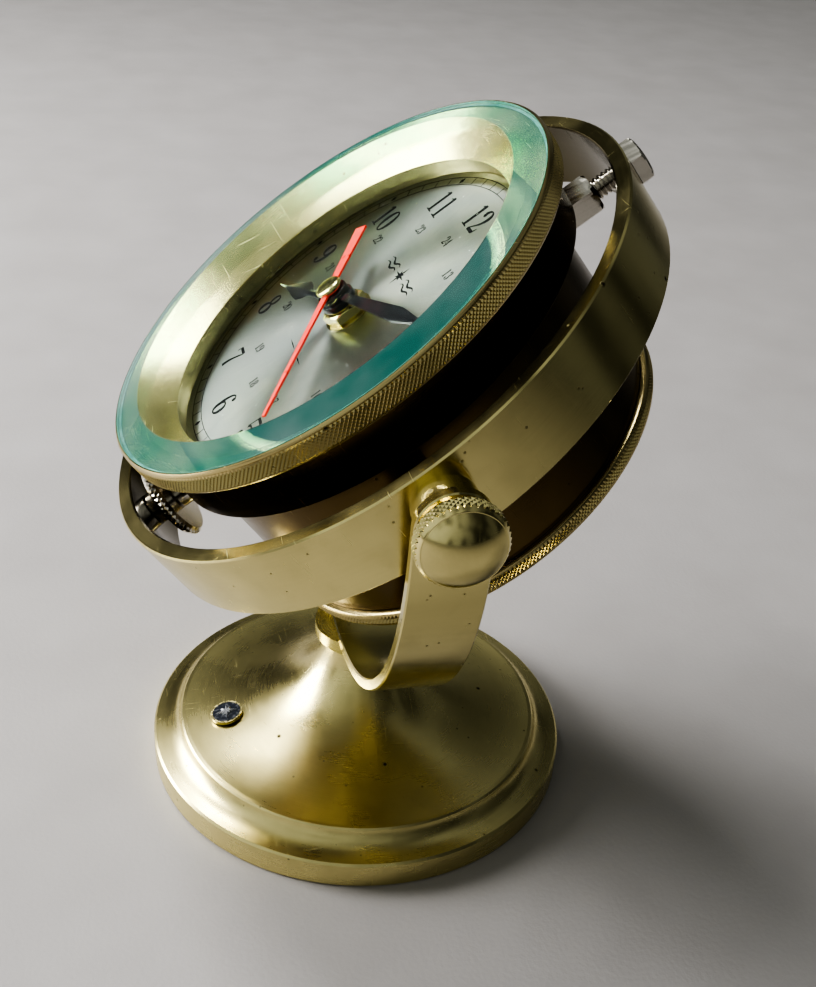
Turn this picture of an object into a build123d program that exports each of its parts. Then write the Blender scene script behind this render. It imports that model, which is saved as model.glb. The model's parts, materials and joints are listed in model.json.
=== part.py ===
from build123d import *
from math import asin, cos, degrees, pi, radians, sin
import os

# Gimballed ship's desk clock. Millimetres, +Z up, origin at the centre of the base's underside.
# The yoke's axis is X; the clock looks towards -Y and upwards.

# ---- driving dimensions: stand ----
base_radius = 51.2
base_rim_height = 6.7
base_wall_inside = 48.6
ridge_radius = 44.5
ridge_height = 11.1
neck_radius = 9.0
neck_top = 33.0
cavity_top = 22.0
weight_bottom = 1.6
weight_screw_radius = 3.0
collar_radius = 11.5
collar_top = 37.8
pivot_height = 109.7
yoke_outer = 72.9
strap_thickness = 2.5
strap_width = 15.0
strap_edge = 0.3
badge_radius = 3.9
badge_thickness = 0.8
badge_distance = 33.4
badge_offset = 2.5
badge_height = 12.7
badge_slope = radians(11)
badge_stem_radius = 0.95
badge_stem_length = 3.0

# ---- driving dimensions: gimbal ring and its pivots ----
ring_outer = 65.0
ring_inner = 61.5
ring_half_width = 8.35
rim_chamfer = 0.35
spacer_radius = 6.4
stud_radius = 3.0
stud_end = 78.0
washer_radius = 6.6
knob_radius = 8.5
knob_back = 74.2
knob_front = 79.1
dome_rise = 3.2
pivot_screw_radius = 2.4
journal_radius = 1.8
journal_end = 51.4
upper_boss_top = 56.2
lower_boss_top = 55.0
boss_spigot_radius = 2.6
bolt_head_top = 68.2
bolt_across_flats = 9.5
boss_across_flats = 8.4
thumb_nut_radius = 10.0
thumb_nut_low = 55.3
thumb_nut_high = 57.8
thumb_nut_neck = 3.8
thumb_nut_end = 61.2
running = 0.05

# ---- driving dimensions: clock drum, heights measured along the dial's axis from the pivot ----
face_elevation = 52.25
bezel_radius = 54.9
bezel_bore = 53.6
bezel_front = 21.5
bezel_shoulder = 20.9
bezel_back = 15.9
case_radius = 51.0
case_bore = 49.6
case_flange = 53.55
case_front = 18.2
case_step = 4.3
dial_seat_bore = 41.0
rear_radius = 46.4
rear_bore = 45.2
rear_end = -33.6
rear_bezel_radius = 48.1
rear_bezel_front = -32.2
rear_bezel_back = -35.9
rear_bezel_lip = 45.0
back_plate_front = -34.2
back_plate_back = -35.2
glass_radius = 54.0
glass_back = 18.5
glass_front = 22.8
glass_edge_front = 21.5
glass_flat_radius = 47.2
gasket_inner = 52.9
rehaut_outer = 52.8
rehaut_rim = 18.15
dial_face = 7.8
dial_thickness = 0.8
dial_opening = 42.5
dial_opening_height = 12.3
dial_opening_wall = 0.8

# ---- driving dimensions: movement and hands ----
movement_front = 6.6
movement_back = -10.8
movement_half_width = 28.0
movement_bottom = -29.0
movement_top = 27.0
movement_wall = 1.4
second_arbor_radius = 0.7
minute_tube_radius = 1.55
hour_tube_radius = 2.4
bush_radius = 3.4
hour_level = 11.5
minute_level = 12.9
second_level = 14.5
hour_angle = 245.7
minute_angle = 68.1
second_angle = 126.0

os.makedirs("parts", exist_ok=True)

# ---- frames: z runs along each turning axis, x is the yoke's axis where it can be ----
tilt = radians(face_elevation)
pivot = Vector(0, 0, pivot_height)
dial_normal = Vector(0, -cos(tilt), sin(tilt))
dial_up = Vector(0, sin(tilt), cos(tilt))
dial_frame = Plane(origin=pivot, x_dir=(1, 0, 0), z_dir=dial_normal)
upper_frame = Plane(origin=pivot, x_dir=(1, 0, 0), z_dir=dial_up)
lower_frame = Plane(origin=pivot, x_dir=(1, 0, 0), z_dir=-dial_up)
badge_frame = Plane(
    origin=(badge_offset, -badge_distance, badge_height), x_dir=(1, 0, 0),
    z_dir=(0, -sin(badge_slope), cos(badge_slope)),
)
right_frame = Plane(origin=pivot, x_dir=(0, 1, 0), z_dir=(1, 0, 0))
left_frame = Plane(origin=pivot, x_dir=(0, 1, 0), z_dir=(-1, 0, 0))


def save(piece, label):
    """Label a finished piece and write its STEP file."""
    piece.label = label
    export_step(piece, f"parts/{label}.step")


def turn(frame, outline, mode=Mode.ADD):
    """Revolve an outline of (radius, height) points about a frame's z axis."""
    section = Plane(origin=frame.origin, x_dir=frame.x_dir, z_dir=-frame.y_dir)
    with BuildSketch(section) as profile:
        with BuildLine():
            Polyline(*outline, close=True)
        make_face()
    revolve(profile.sketch, axis=Axis(frame.origin, frame.z_dir), mode=mode)


def post(frame, low, high, radius, at=(0, 0), mode=Mode.ADD):
    """A round bar along a frame's z axis, or a round hole with Mode.SUBTRACT."""
    with BuildSketch(frame.offset(low)) as section:
        with Locations(at):
            Circle(radius)
    extrude(section.sketch, amount=high - low, mode=mode)


def block(frame, low, high, width, length, at=(0, 0), mode=Mode.ADD):
    """A rectangular block standing along a frame's z axis."""
    with BuildSketch(frame.offset(low)) as section:
        with Locations(at):
            Rectangle(width, length)
    extrude(section.sketch, amount=high - low, mode=mode)


def hexagon(frame, low, high, across_flats):
    """A hexagonal prism along a frame's z axis."""
    with BuildSketch(frame.offset(low)) as section:
        RegularPolygon(across_flats / 2, 6, major_radius=False)
    extrude(section.sketch, amount=high - low)


# ---- stand ----
with BuildPart() as base_shell:
    with BuildSketch(Plane.XZ):
        with BuildLine():
            cavity = Polyline(
                (0, cavity_top), (7.0, cavity_top), (10.5, 14.0), (24.0, 9.2), (41.0, 8.4),
                (base_wall_inside, 4.8), (base_wall_inside, 0), (base_radius - 0.4, 0),
                (base_radius, 0.4), (base_radius, base_rim_height - 0.5),
                (base_radius - 0.5, base_rim_height),
            )
            cove = Spline(
                cavity @ 1,
                (base_wall_inside, base_rim_height + 0.4),
                (46.2, 8.2),
                (ridge_radius, ridge_height - 0.4),
            )
            crest = Polyline(
                cove @ 1, (ridge_radius - 0.4, ridge_height), (ridge_radius - 1.2, ridge_height + 0.1),
            )
            flare = Bezier(crest @ 1, (25.0, 11.6), (10.0, 20.5), (neck_radius, neck_top))
            Polyline(flare @ 1, (0, neck_top), (0, cavity_top))
        make_face()
    revolve(axis=Axis.Z)
    post(Plane.XY, cavity_top - 2, neck_top + 1, weight_screw_radius, mode=Mode.SUBTRACT)
    post(badge_frame, -badge_stem_length - 0.2, 1.0, badge_stem_radius, mode=Mode.SUBTRACT)
save(base_shell.part, "base_shell")

weight_bore = weight_screw_radius + 0.3
recess_top = 5.0
washer_bottom = recess_top - 0.8
with BuildPart() as base_weight:
    turn(Plane.XY, [
        (weight_bore, weight_bottom), (48.2, weight_bottom), (48.2, 4.4), (40.8, 7.9), (24.2, 8.7),
        (10.2, 13.2), (weight_bore, 13.6),
    ])
    post(Plane.XY, weight_bottom - 0.1, recess_top, 7.0, mode=Mode.SUBTRACT)
save(base_weight.part, "base_weight")

with BuildPart() as weight_washer:
    turn(Plane.XY, [
        (weight_bore, washer_bottom), (6.8, washer_bottom), (6.8, recess_top), (weight_bore, recess_top),
    ])
save(weight_washer.part, "weight_washer")

with BuildPart() as weight_screw:
    turn(Plane.XY, [
        (0, 2.4), (4.2, 2.4), (5.0, 3.0), (5.0, washer_bottom), (weight_screw_radius, washer_bottom),
        (weight_screw_radius, 24.5), (0, 25.0),
    ])
save(weight_screw.part, "weight_screw")

with BuildPart() as base_felt:
    post(Plane.XY, 0.0, weight_bottom, base_wall_inside - 0.2)
save(base_felt.part, "base_felt")

strap_low = pivot_height - yoke_outer
strap_top = strap_low + strap_thickness
yoke_screw_radius = weight_screw_radius
with BuildPart() as neck_collar:
    turn(Plane.XY, [
        (weight_screw_radius, neck_top), (collar_radius - 1.1, neck_top), (collar_radius, neck_top + 1.0),
        (collar_radius, collar_top - 0.6), (collar_radius - 0.6, collar_top),
        (weight_screw_radius, collar_top),
    ])
    with BuildSketch(Plane.XZ.offset(-20)):
        with Locations((0, pivot_height)):
            Circle(yoke_outer)
    extrude(amount=40, mode=Mode.SUBTRACT)
save(neck_collar.part, "neck_collar")

with BuildPart() as yoke:
    with BuildSketch(Plane.XZ.offset(-strap_width / 2)):
        with Locations((0, pivot_height)):
            Circle(yoke_outer)
            Rectangle(2 * yoke_outer, strap_width / 2, align=(Align.CENTER, Align.MIN))
            Circle(yoke_outer - strap_thickness, mode=Mode.SUBTRACT)
            Rectangle(
                2 * (yoke_outer - strap_thickness), strap_width / 2,
                align=(Align.CENTER, Align.MIN), mode=Mode.SUBTRACT,
            )
        with Locations((0, pivot_height + strap_width / 2)):
            Rectangle(4 * yoke_outer, 2 * yoke_outer, align=(Align.CENTER, Align.MIN), mode=Mode.SUBTRACT)
    extrude(amount=strap_width)
    arm_corners = yoke.edges().filter_by(Axis.X).group_by(Axis.Z)[-1]
    fillet(arm_corners, strap_width / 2 - 0.05)
    chamfer(yoke.edges(), strap_edge)
    for side in (right_frame, left_frame):
        strap_inside = yoke_outer - strap_thickness
        post(side, strap_inside - 1, yoke_outer + 1, stud_radius + running, mode=Mode.SUBTRACT)
    countersink = [
        (0, strap_low - 1), (yoke_screw_radius, strap_low - 1), (yoke_screw_radius, strap_low + 0.6),
        (5.4, strap_top + 0.1), (5.4, strap_top + 2), (0, strap_top + 2),
    ]
    turn(Plane.XY, countersink, mode=Mode.SUBTRACT)
save(yoke.part, "yoke")

with BuildPart() as yoke_screw:
    turn(Plane.XY, [
        (0, 26.0), (yoke_screw_radius - 0.4, 26.0), (yoke_screw_radius, 26.6),
        (yoke_screw_radius, strap_low + 0.6), (5.0, strap_top - 0.1), (0, strap_top - 0.1),
    ])
    block(Plane.XY, strap_top - 1.2, strap_top, 1.4, 12.0, mode=Mode.SUBTRACT)
save(yoke_screw.part, "yoke_screw")

# ---- badge: a thin disc with a rivet stem, and a plain compass star on it ----
with BuildPart() as badge_disc:
    post(badge_frame, 0.0, badge_thickness, badge_radius)
    post(badge_frame, -badge_stem_length, 0.0, badge_stem_radius)
save(badge_disc.part, "badge_disc")


def star_points(long_ray, short_ray, waist):
    """An eight-pointed star: four long rays, four short ones, and the waists between them."""
    radii = (long_ray, waist, short_ray, waist)
    points = []
    for corner in range(16):
        angle = pi * corner / 8
        radius = radii[corner % 4]
        points.append((radius * cos(angle), radius * sin(angle)))
    return points


with BuildPart() as badge_star:
    with BuildSketch(badge_frame.offset(badge_thickness)):
        with BuildLine():
            Polyline(*star_points(long_ray=3.0, short_ray=1.9, waist=0.9), close=True)
        make_face()
    extrude(amount=0.5, taper=20)
save(badge_star.part, "badge_star")

# ---- gimbal ring and its pivots ----
with BuildPart() as gimbal_ring:
    with BuildSketch(dial_frame):
        Circle(ring_outer)
        Circle(ring_inner, mode=Mode.SUBTRACT)
    extrude(amount=ring_half_width, both=True)
    rims = gimbal_ring.edges().filter_by(GeomType.CIRCLE)
    chamfer(rims, rim_chamfer)
    for side in (right_frame, left_frame):
        post(side, ring_inner - 2, ring_outer + 2, stud_radius + running, mode=Mode.SUBTRACT)
    for side in (upper_frame, lower_frame):
        post(side, ring_inner - 2, ring_outer + 2, pivot_screw_radius, mode=Mode.SUBTRACT)
save(gimbal_ring.part, "gimbal_ring")


def make_spacer(side, label):
    """A round distance piece between the ring and a yoke arm, its foot shaped to the ring."""
    with BuildPart() as spacer:
        post(side, ring_outer - 1.0, yoke_outer - strap_thickness - 0.4, spacer_radius)
        with BuildSketch(dial_frame.offset(-20)):
            Circle(ring_outer)
        extrude(amount=40, mode=Mode.SUBTRACT)
        post(side, ring_outer - 3, yoke_outer, stud_radius + running, mode=Mode.SUBTRACT)
    save(spacer.part, label)


def make_clamp_knob(side, label):
    """A domed clamp knob with a blind bore for its stud."""
    rim = knob_radius - 1.1
    dome_radius = (rim**2 + dome_rise**2) / (2 * dome_rise)
    rim_angle = degrees(asin((dome_radius - dome_rise) / dome_radius))
    with BuildPart() as knob:
        with BuildSketch(Plane(origin=side.origin, x_dir=side.x_dir, z_dir=-side.y_dir)):
            with BuildLine():
                CenterArc((0, knob_front + dome_rise - dome_radius), dome_radius, rim_angle, 90 - rim_angle)
                Polyline(
                    (rim, knob_front), (knob_radius - 0.6, knob_front), (knob_radius, knob_front - 0.6),
                    (knob_radius, knob_back + 0.6), (knob_radius - 0.9, knob_back), (0, knob_back),
                    (0, knob_front + dome_rise),
                )
            make_face()
        revolve(axis=Axis(side.origin, side.z_dir))
        post(side, knob_back - 0.1, stud_end, stud_radius, mode=Mode.SUBTRACT)
    save(knob.part, label)


def make_clamp_stud(side, label):
    """The stud that passes through the arm and the spacer into the ring."""
    with BuildPart() as stud:
        turn(side, [
            (0, ring_inner + 0.1), (stud_radius - 0.6, ring_inner + 0.1), (stud_radius, ring_inner + 0.7),
            (stud_radius, stud_end), (0, stud_end),
        ])
    save(stud.part, label)


for side_name, side in (("right", right_frame), ("left", left_frame)):
    make_spacer(side, f"pivot_spacer_{side_name}")
    make_clamp_knob(side, f"clamp_knob_{side_name}")
    make_clamp_stud(side, f"clamp_stud_{side_name}")

washer_top = yoke_outer + 1.3
stud_clearance = stud_radius + running
with BuildPart() as knob_washers:
    for side in (right_frame, left_frame):
        turn(side, [
            (stud_clearance, yoke_outer), (washer_radius, yoke_outer),
            (washer_radius, washer_top), (stud_clearance, washer_top),
        ])
save(knob_washers.part, "knob_washers")

upper_shoulder = upper_boss_top + 0.2
with BuildPart() as upper_pivot_screw:
    hexagon(upper_frame, ring_outer, bolt_head_top, bolt_across_flats)
    turn(upper_frame, [
        (0, bolt_head_top), (4.3, bolt_head_top), (3.4, bolt_head_top + 0.4), (0, bolt_head_top + 0.4),
    ])
    post(upper_frame, upper_shoulder, ring_outer, pivot_screw_radius)
    post(upper_frame, journal_end, upper_shoulder, journal_radius)
save(upper_pivot_screw.part, "upper_pivot_screw")

lower_shoulder = lower_boss_top + 0.2
with BuildPart() as lower_pivot_stud:
    post(lower_frame, lower_shoulder, ring_outer - 0.2, pivot_screw_radius)
    post(lower_frame, journal_end - 1.0, lower_shoulder, journal_radius)
save(lower_pivot_stud.part, "lower_pivot_stud")

nut_bore = pivot_screw_radius + running
with BuildPart() as thumb_nut:
    turn(lower_frame, [
        (nut_bore, thumb_nut_low), (thumb_nut_radius - 0.4, thumb_nut_low),
        (thumb_nut_radius, thumb_nut_low + 0.4), (thumb_nut_radius, thumb_nut_high - 0.4),
        (thumb_nut_radius - 0.4, thumb_nut_high), (thumb_nut_neck + 0.4, thumb_nut_high),
        (thumb_nut_neck, thumb_nut_high + 0.6), (thumb_nut_neck, thumb_nut_end), (nut_bore, thumb_nut_end),
    ])
save(thumb_nut.part, "thumb_nut")

# ---- drum ----
dial_back = dial_face - dial_thickness
flange_cone_low = 15.7
flange_cone_high = 17.7
rear_cylinder = rear_radius - 0.2
with BuildPart() as case_body:
    turn(dial_frame, [
        (case_flange, case_front), (case_flange, bezel_back), (case_radius, bezel_back),
        (case_radius, case_step + 0.3), (case_radius - 0.3, case_step), (rear_radius, case_step),
        (rear_radius, rear_end), (rear_bore, rear_end), (rear_bore, case_step - 1.5),
        (dial_seat_bore, case_step), (dial_seat_bore, dial_back), (case_bore, dial_back),
        (case_bore, flange_cone_low), (gasket_inner, flange_cone_high), (gasket_inner, case_front),
    ])
    for side in (upper_frame, lower_frame):
        post(side, rear_bore - 3, rear_radius + 3, boss_spigot_radius, mode=Mode.SUBTRACT)
save(case_body.part, "case_body")


def pivot_boss(side, top, label, six_sided):
    """A boss on the drum that holds one pivot journal, with a spigot through the case wall."""
    with BuildPart() as boss:
        if six_sided:
            hexagon(side, rear_cylinder, top, boss_across_flats)
        else:
            post(side, rear_cylinder, top, 3.6)
        with BuildSketch(dial_frame.offset(-20)):
            Circle(rear_radius)
        extrude(amount=40, mode=Mode.SUBTRACT)
        post(side, rear_bore - 1.2, rear_radius + 0.4, boss_spigot_radius)
        post(side, rear_bore + 1.5, top + 1, journal_radius + running, mode=Mode.SUBTRACT)
    save(boss.part, label)


pivot_boss(upper_frame, upper_boss_top, "upper_pivot_boss", six_sided=True)
pivot_boss(lower_frame, lower_boss_top, "lower_pivot_boss", six_sided=False)

with BuildPart() as rehaut_ring:
    ledge = dial_opening_height - dial_opening_wall
    turn(dial_frame, [
        (rehaut_outer, rehaut_rim), (rehaut_outer - 0.4, rehaut_rim), (dial_opening, dial_opening_height),
        (dial_opening, ledge), (43.6, ledge), (43.6, dial_face), (45.2, dial_face),
        (45.2, dial_opening_height + 0.4), (case_bore - 0.1, flange_cone_low - 0.5),
        (case_bore - 0.1, flange_cone_low), (rehaut_outer, flange_cone_high + 0.05),
    ])
save(rehaut_ring.part, "rehaut_ring")

with BuildPart() as dial_plate:
    post(dial_frame, dial_back, dial_face, case_bore - 0.3)
    post(dial_frame, dial_face - 2, dial_face + 1, bush_radius, mode=Mode.SUBTRACT)
save(dial_plate.part, "dial_plate")

with BuildPart() as front_bezel:
    glass_recess = glass_radius + running
    turn(dial_frame, [
        (bezel_radius, bezel_back), (bezel_radius, bezel_shoulder), (glass_recess + 0.25, bezel_front),
        (glass_recess, bezel_front), (glass_recess, case_front), (bezel_bore, case_front),
        (bezel_bore, bezel_back),
    ])
save(front_bezel.part, "front_bezel")

with BuildPart() as glass:
    turn(dial_frame, [
        (0, glass_back), (glass_radius, glass_back), (glass_radius, glass_edge_front),
        (glass_flat_radius, glass_front), (0, glass_front),
    ])
save(glass.part, "glass")

with BuildPart() as glass_gasket:
    gasket_back = case_front + running
    turn(dial_frame, [
        (gasket_inner, gasket_back), (case_flange, gasket_back),
        (case_flange, glass_back), (gasket_inner, glass_back),
    ])
save(glass_gasket.part, "glass_gasket")

with BuildPart() as rear_bezel:
    sleeve = rear_radius + running
    plate_recess = sleeve + 0.55
    turn(dial_frame, [
        (sleeve, rear_bezel_front), (rear_bezel_radius - 0.5, rear_bezel_front),
        (rear_bezel_radius, rear_bezel_front - 0.5), (rear_bezel_radius, rear_bezel_back + 0.5),
        (rear_bezel_radius - 0.5, rear_bezel_back), (rear_bezel_lip, rear_bezel_back),
        (rear_bezel_lip, back_plate_back), (plate_recess, back_plate_back),
        (plate_recess, back_plate_front + 0.2), (sleeve, back_plate_front + 0.2),
    ])
save(rear_bezel.part, "rear_bezel")

with BuildPart() as back_plate:
    post(dial_frame, back_plate_back, back_plate_front, 46.8)
save(back_plate.part, "back_plate")

with BuildPart() as back_gasket:
    gasket_top = rear_end - 0.05
    turn(dial_frame, [
        (45.3, back_plate_front), (46.3, back_plate_front), (46.3, gasket_top), (45.3, gasket_top),
    ])
save(back_gasket.part, "back_gasket")

# ---- movement: levels along the dial's axis ----
inside_front = movement_front - movement_wall
inside_back = movement_back + movement_wall
bridge_low = 0.2
bridge_high = 0.8
movement_middle = (movement_top + movement_bottom) / 2
movement_length = movement_top - movement_bottom
battery_radius = 7.0
battery_row = -19.6
battery_level = -2.2
battery_half_length = 25.0
contact_offset = battery_half_length + 0.8

# ---- movement: wheel positions (x along 9-3, y along 6-12) and teeth ----
wheel_module = 0.3
motion_module = 0.375
third_pinion_module = 0.28333
rotor_module = 0.25
pivot_radius = 0.6
pivot_hole = 0.65
pivot_end = inside_back - 0.6
third_centre = (7.2125, 7.2125)
minute_wheel_centre = (-9.0, 0.0)
setting_centre = (-15.364, 6.364)
intermediate_centre = (-3.6, 6.235)
rotor_centre = (-7.1, 12.297)
pillar_places = [(-20.0, -9.0), (20.0, -9.0), (-20.0, 16.5), (20.0, 16.5)]


def shell_outline(low, high, inset, mode=Mode.ADD):
    """A rounded rectangular block of the movement's outline."""
    with BuildSketch(dial_frame.offset(low)) as outline:
        with Locations((0, movement_middle)):
            RectangleRounded(2 * (movement_half_width - inset), movement_length - 2 * inset, 3.0)
    extrude(outline.sketch, amount=high - low, mode=mode)


with BuildPart() as movement_front_plate:
    shell_outline(inside_front, movement_front, 0)
    post(dial_frame, inside_front, 10.9, bush_radius)
    post(dial_frame, inside_front - 1, 12, hour_tube_radius + running, mode=Mode.SUBTRACT)
    post(dial_frame, 2.2, inside_front, 0.8, at=minute_wheel_centre)
    post(dial_frame, inside_front - 0.1, inside_front + 0.8, pivot_hole, at=third_centre, mode=Mode.SUBTRACT)
save(movement_front_plate.part, "movement_front_plate")

with BuildPart() as movement_back_case:
    shell_outline(movement_back, inside_front, 0)
    shell_outline(inside_back, inside_front + 1, movement_wall, mode=Mode.SUBTRACT)
    for place in pillar_places:
        post(dial_frame, inside_back - 0.2, bridge_low, 1.6, at=place)
    for place in (third_centre, intermediate_centre, rotor_centre):
        post(dial_frame, inside_back - 0.7, inside_back + 0.1, pivot_hole, at=place, mode=Mode.SUBTRACT)
    post(dial_frame, inside_back - 0.7, inside_back + 0.1, second_arbor_radius + running, mode=Mode.SUBTRACT)
    post(dial_frame, movement_back - 1, inside_back + 1, 1.05, at=setting_centre, mode=Mode.SUBTRACT)
save(movement_back_case.part, "movement_back_case")

with BuildPart() as train_bridge:
    block(dial_frame, bridge_low, bridge_high, 44.0, 30.0, at=(0, 4.0))
    post(dial_frame, bridge_low - 1, bridge_high + 1, second_arbor_radius + running, mode=Mode.SUBTRACT)
    for place in (third_centre, intermediate_centre, rotor_centre):
        post(dial_frame, bridge_low - 1, bridge_high + 1, pivot_hole, at=place, mode=Mode.SUBTRACT)
    post(dial_frame, bridge_low - 1, bridge_high + 1, 1.05, at=setting_centre, mode=Mode.SUBTRACT)
save(train_bridge.part, "train_bridge")


def toothed(low, high, centre, teeth, module, phase, slim=0.36):
    """A toothed wheel with tapered teeth; one tooth points at the phase angle."""
    pitch_radius = teeth * module / 2
    step = 2 * pi / teeth
    half_tooth = slim * step / 2
    corners = [
        (pitch_radius - 1.2 * module, -1.35 * half_tooth),
        (pitch_radius, -half_tooth),
        (pitch_radius + 0.8 * module, -0.5 * half_tooth),
        (pitch_radius + 0.8 * module, 0.5 * half_tooth),
        (pitch_radius, half_tooth),
        (pitch_radius - 1.2 * module, 1.35 * half_tooth),
    ]
    outline = []
    for tooth in range(teeth):
        middle = radians(phase) + tooth * step
        for radius, offset in corners:
            angle = middle + offset
            outline.append((centre[0] + radius * cos(angle), centre[1] + radius * sin(angle)))
    with BuildSketch(dial_frame.offset(low)) as wheel:
        with BuildLine():
            Polyline(*outline, close=True)
        make_face()
    extrude(wheel.sketch, amount=high - low)


def gap_phase(direction, teeth):
    """The phase that turns a tooth gap towards a direction in degrees."""
    return direction + 180 / teeth


with BuildPart() as seconds_wheel:
    post(dial_frame, pivot_end, second_level, second_arbor_radius)
    toothed(-1.4, -0.2, (0, 0), 8, wheel_module, gap_phase(45, 8))
    toothed(-2.8, -2.0, (0, 0), 40, wheel_module, 120)
save(seconds_wheel.part, "seconds_wheel")

with BuildPart() as third_wheel:
    post(dial_frame, pivot_end, inside_front + 0.7, pivot_radius, at=third_centre)
    toothed(-1.2, -0.4, third_centre, 60, wheel_module, 225)
    toothed(1.0, 2.2, third_centre, 8, third_pinion_module, gap_phase(225, 8))
save(third_wheel.part, "third_wheel")

with BuildPart() as centre_wheel:
    toothed(1.2, 2.0, (0, 0), 64, third_pinion_module, 45)
    post(dial_frame, 1.2, minute_level, minute_tube_radius)
    toothed(2.5, 3.5, (0, 0), 12, motion_module, gap_phase(180, 12))
    post(dial_frame, 0, 14, second_arbor_radius + running, mode=Mode.SUBTRACT)
save(centre_wheel.part, "centre_wheel")

with BuildPart() as minute_wheel:
    toothed(2.6, 3.4, minute_wheel_centre, 36, motion_module, 0)
    toothed(3.4, 4.7, minute_wheel_centre, 12, wheel_module, gap_phase(0, 12))
    post(dial_frame, 2, 6, 0.85, at=minute_wheel_centre, mode=Mode.SUBTRACT)
save(minute_wheel.part, "minute_wheel")

with BuildPart() as hour_wheel:
    toothed(3.8, 4.6, (0, 0), 48, wheel_module, 180)
    post(dial_frame, 3.8, hour_level, hour_tube_radius)
    post(dial_frame, 3, 12, minute_tube_radius + running, mode=Mode.SUBTRACT)
save(hour_wheel.part, "hour_wheel")

with BuildPart() as intermediate_wheel:
    post(dial_frame, pivot_end, bridge_high, pivot_radius, at=intermediate_centre)
    toothed(-3.0, -1.8, intermediate_centre, 8, wheel_module, gap_phase(-60, 8))
    toothed(-4.4, -3.7, intermediate_centre, 48, rotor_module, 120)
save(intermediate_wheel.part, "intermediate_wheel")

with BuildPart() as rotor:
    post(dial_frame, pivot_end, bridge_high, pivot_radius, at=rotor_centre)
    toothed(-4.7, -3.5, rotor_centre, 8, rotor_module, gap_phase(-60, 8))
    post(dial_frame, -6.4, -5.0, 3.0, at=rotor_centre)
save(rotor.part, "rotor")

with BuildPart() as setting_shaft:
    toothed(2.5, 3.5, setting_centre, 12, motion_module, -45)
    post(dial_frame, movement_back - 5.0, 3.5, 1.0, at=setting_centre)
save(setting_shaft.part, "setting_shaft")

with BuildPart() as setting_knob:
    post(dial_frame, movement_back - 5.2, movement_back - 0.6, 5.0, at=setting_centre)
    chamfer(setting_knob.edges().filter_by(GeomType.CIRCLE), 0.5)
    post(dial_frame, movement_back - 5.0, movement_back, 1.0, at=setting_centre, mode=Mode.SUBTRACT)
save(setting_knob.part, "setting_knob")

coil_row = 21.5
coil_level = -4.6
with BuildPart() as stator:
    block(dial_frame, -6.2, -5.2, 27.0, 11.0, at=(-1.5, 14.2))
    block(dial_frame, -7, -4, 15.0, 8.2, at=(5.2, 15.6), mode=Mode.SUBTRACT)
    post(dial_frame, -7, -4, 3.4, at=rotor_centre, mode=Mode.SUBTRACT)
save(stator.part, "stator")

coil_plane = Plane(
    origin=dial_frame.from_local_coords((-12.0, coil_row + 1.2, coil_level)), x_dir=dial_up, z_dir=(1, 0, 0),
)
with BuildPart() as coil:
    post(coil_plane, 0.0, 24.0, 2.6)
    post(coil_plane, 0.0, 1.0, 2.8)
    post(coil_plane, 23.0, 24.0, 2.8)
save(coil.part, "coil")

with BuildPart() as circuit_board:
    block(dial_frame, -9.0, -8.2, 30.0, 7.0, at=(2.0, 21.6))
save(circuit_board.part, "circuit_board")

crystal_plane = Plane(
    origin=dial_frame.from_local_coords((19.0, coil_row - 2.0, -7.2)), x_dir=(1, 0, 0), z_dir=dial_up,
)
with BuildPart() as quartz_crystal:
    with BuildSketch(crystal_plane):
        Circle(1.0)
    extrude(amount=5.0)
save(quartz_crystal.part, "quartz_crystal")

battery_plane = Plane(
    origin=dial_frame.from_local_coords((0, battery_row, battery_level)), x_dir=dial_up, z_dir=(1, 0, 0),
)
with BuildPart() as battery:
    post(battery_plane, -battery_half_length, battery_half_length - 1.2, battery_radius)
    fillet(battery.edges().filter_by(GeomType.CIRCLE), 0.6)
    post(battery_plane, battery_half_length - 1.3, battery_half_length, 2.6)
save(battery.part, "battery")

with BuildPart() as battery_contacts:
    for side in (-1, 1):
        block(battery_plane, side * contact_offset - 0.5, side * contact_offset + 0.5, 10.0, 8.0)
save(battery_contacts.part, "battery_contacts")

# ---- front of the movement and the hands ----
with BuildPart() as dial_washer:
    turn(dial_frame, [(bush_radius, movement_front), (8.0, movement_front), (8.0, 7.0), (bush_radius, 7.0)])
save(dial_washer.part, "dial_washer")

with BuildPart() as centre_washer:
    turn(dial_frame, [(bush_radius, dial_face), (5.6, dial_face), (5.6, 8.2), (bush_radius, 8.2)])
save(centre_washer.part, "centre_washer")

with BuildPart() as centre_nut:
    hexagon(dial_frame, 8.2, 10.6, 9.0)
    post(dial_frame, 8, 11, bush_radius, mode=Mode.SUBTRACT)
save(centre_nut.part, "centre_nut")


def hand_frame(angle, height):
    """A plane at a height above the pivot whose y axis points along a hand."""
    turn_by = radians(angle)
    right = Vector(1, 0, 0) * cos(turn_by) - dial_up * sin(turn_by)
    return Plane(origin=pivot + dial_normal * height, x_dir=right, z_dir=dial_normal)


hour_plane = hand_frame(hour_angle, hour_level)
with BuildPart() as hour_hand:
    with BuildSketch(hour_plane):
        Circle(4.0)
        with BuildLine():
            Polyline((-0.9, 0), (-0.7, 13.5), (0.7, 13.5), (0.9, 0), close=True)
        make_face()
        with BuildLine():
            leaf = Spline((0, 12.5), (2.6, 17.5), (0, 27.5))
            mirror(leaf, about=Plane.YZ)
        make_face()
    extrude(amount=0.6)
    post(dial_frame, 11.0, 13.0, minute_tube_radius + running, mode=Mode.SUBTRACT)
save(hour_hand.part, "hour_hand")

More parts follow.
